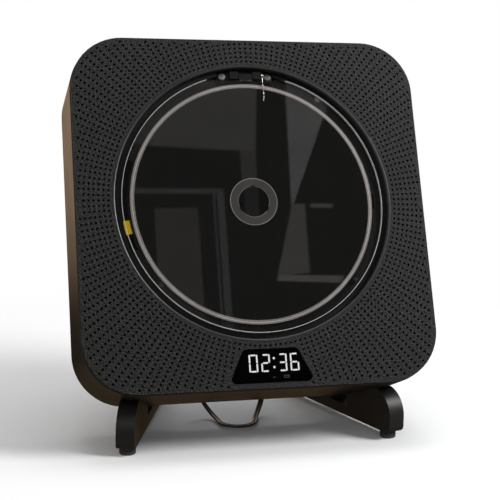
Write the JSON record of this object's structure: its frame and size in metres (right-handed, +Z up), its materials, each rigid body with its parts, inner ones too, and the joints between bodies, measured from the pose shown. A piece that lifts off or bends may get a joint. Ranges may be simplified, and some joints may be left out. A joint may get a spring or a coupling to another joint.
{
  "type": "wall mounted cd player",
  "caption": "Square upright disc player with a perforated front, round clear-lidded disc well, clock display, back wall plate and two splayed desk feet.",
  "frame": {"origin": "middle of the footprint, on the surface it stands on (cord left out)", "axes": "+Z up, front faces -Y and leans back, +X to the right seen from the front"},
  "size_m": [0.172, 0.1128, 0.1898],
  "materials": {
    "grille_plastic": "matt charcoal, finely textured",
    "band_plastic": "satin, near black",
    "rear_plastic": "fine spark texture",
    "rim_plastic": "satin bevel",
    "well_plastic": "semi gloss black",
    "strip_black": "plain film",
    "strip_yellow": "plain film",
    "disc_black": "glossy black face with a clear hub and a bare silver edge",
    "hub_plastic": "moulded black",
    "steel": "bright zinc",
    "clear_acrylic": "clear, polished",
    "rubber": "soft black rubber",
    "part_plastic": "moulded dark grey",
    "chassis_steel": "zinc plated sheet",
    "motor_steel": "drawn steel can",
    "lens_glass": "coated lens",
    "board_green": "solder mask",
    "chip_black": "moulded packages",
    "cell_wrap": "shrink film",
    "display_gloss": "polished black",
    "digit_white": "lit white segments",
    "speaker_steel": "black pressed basket",
    "cone_paper": "coated paper",
    "inlet_steel": "stamped shell",
    "foot_plastic": "satin black",
    "button_plastic": "satin black",
    "cord_black": "glossy black jacket"
  },
  "bodies": {
    "player": {"battery_cells": "cell_wrap", "battery_cradle": "part_plastic", "board_parts": "chip_black", "carry_loop": "cord_black", "damper_screws": "steel", "dampers": "rubber", "deck": "well_plastic", "display_module": "part_plastic", "display_segments": "digit_white", "display_window": "display_gloss", "foot_left": "foot_plastic", "foot_pads": "rubber", "foot_right": "foot_plastic", "foot_screws": "steel", "front_grille": "grille_plastic", "grommets": "rubber", "guide_rods": "steel", "headphone_jack": "part_plastic", "hinge_bracket": "well_plastic", "hinge_pin": "steel", "hinge_screws": "steel", "key_board": "board_green", "lid_bumpers": "rubber", "lid_switch": "part_plastic", "main_board": "board_green", "marker_block": "strip_yellow", "marker_strip": "strip_black", "mechanism_chassis": "chassis_steel", "power_inlet": "inlet_steel", "rear_cover": "rear_plastic", "rear_screws": "steel", "side_band": "band_plastic", "sled_motor": "motor_steel", "speaker_cones": "cone_paper", "speaker_left": "speaker_steel", "speaker_right": "speaker_steel", "spindle_motor": "motor_steel", "wall_plate": "chassis_steel", "wall_plate_screws": "steel", "well_rim": "rim_plastic"},
    "lid": {"dust_cover": "clear_acrylic", "lid_spring": "steel"},
    "spindle": {"disc": "disc_black", "turntable": "hub_plastic", "disc_clamps": "steel"},
    "sled": {"pickup_sled": "part_plastic", "pickup_lens": "lens_glass"},
    "screw": {"lead_screw": "part_plastic"},
    "switch_pin": {"lid_switch_pin": "well_plastic"},
    "button_power": {"button_power": "button_plastic"},
    "button_mode": {"button_mode": "button_plastic"},
    "button_previous": {"button_previous": "button_plastic"},
    "button_play": {"button_play": "button_plastic"},
    "button_next": {"button_next": "button_plastic"}
  },
  "joints": [
    {"name": "lid_hinge", "type": "hinge", "parent": "player", "child": "lid", "pos_m": [0, 0.00683, 0.17278], "axis": [-1, 0, 0], "range_deg": [0, 90], "stiffness_Nm_per_rad": 0.001},
    {"name": "disc_spin", "type": "hinge", "parent": "player", "child": "spindle", "pos_m": [0, -0.01788, 0.11374], "axis": [0, 0.9191, -0.3939], "continuous": true},
    {"name": "sled_slide", "type": "slide", "parent": "player", "child": "sled", "axis": [1, 0, 0], "range_m": [0, 0.033]},
    {"name": "screw_spin", "type": "hinge", "parent": "player", "child": "screw", "pos_m": [0.0086, -0.01751, 0.08693], "axis": [1, 0, 0], "continuous": true},
    {"name": "switch_pin_slide", "type": "slide", "parent": "player", "child": "switch_pin", "axis": [0, 0.9191, -0.3939], "range_m": [0, 0.0008], "stiffness_N_per_m": 120},
    {"name": "button_power_press", "type": "slide", "parent": "player", "child": "button_power", "axis": [0, -0.3939, -0.9191], "range_m": [0, 0.0007], "stiffness_N_per_m": 300},
    {"name": "button_mode_press", "type": "slide", "parent": "player", "child": "button_mode", "axis": [0, -0.3939, -0.9191], "range_m": [0, 0.0007], "stiffness_N_per_m": 300},
    {"name": "button_previous_press", "type": "slide", "parent": "player", "child": "button_previous", "axis": [0, -0.3939, -0.9191], "range_m": [0, 0.0007], "stiffness_N_per_m": 300},
    {"name": "button_play_press", "type": "slide", "parent": "player", "child": "button_play", "axis": [0, -0.3939, -0.9191], "range_m": [0, 0.0007], "stiffness_N_per_m": 300},
    {"name": "button_next_press", "type": "slide", "parent": "player", "child": "button_next", "axis": [0, -0.3939, -0.9191], "range_m": [0, 0.0007], "stiffness_N_per_m": 300}
  ],
  "couplings": [
    {"joint": "screw_spin", "follows": "sled_slide", "rad_per_m": 1047.2}
  ]
}
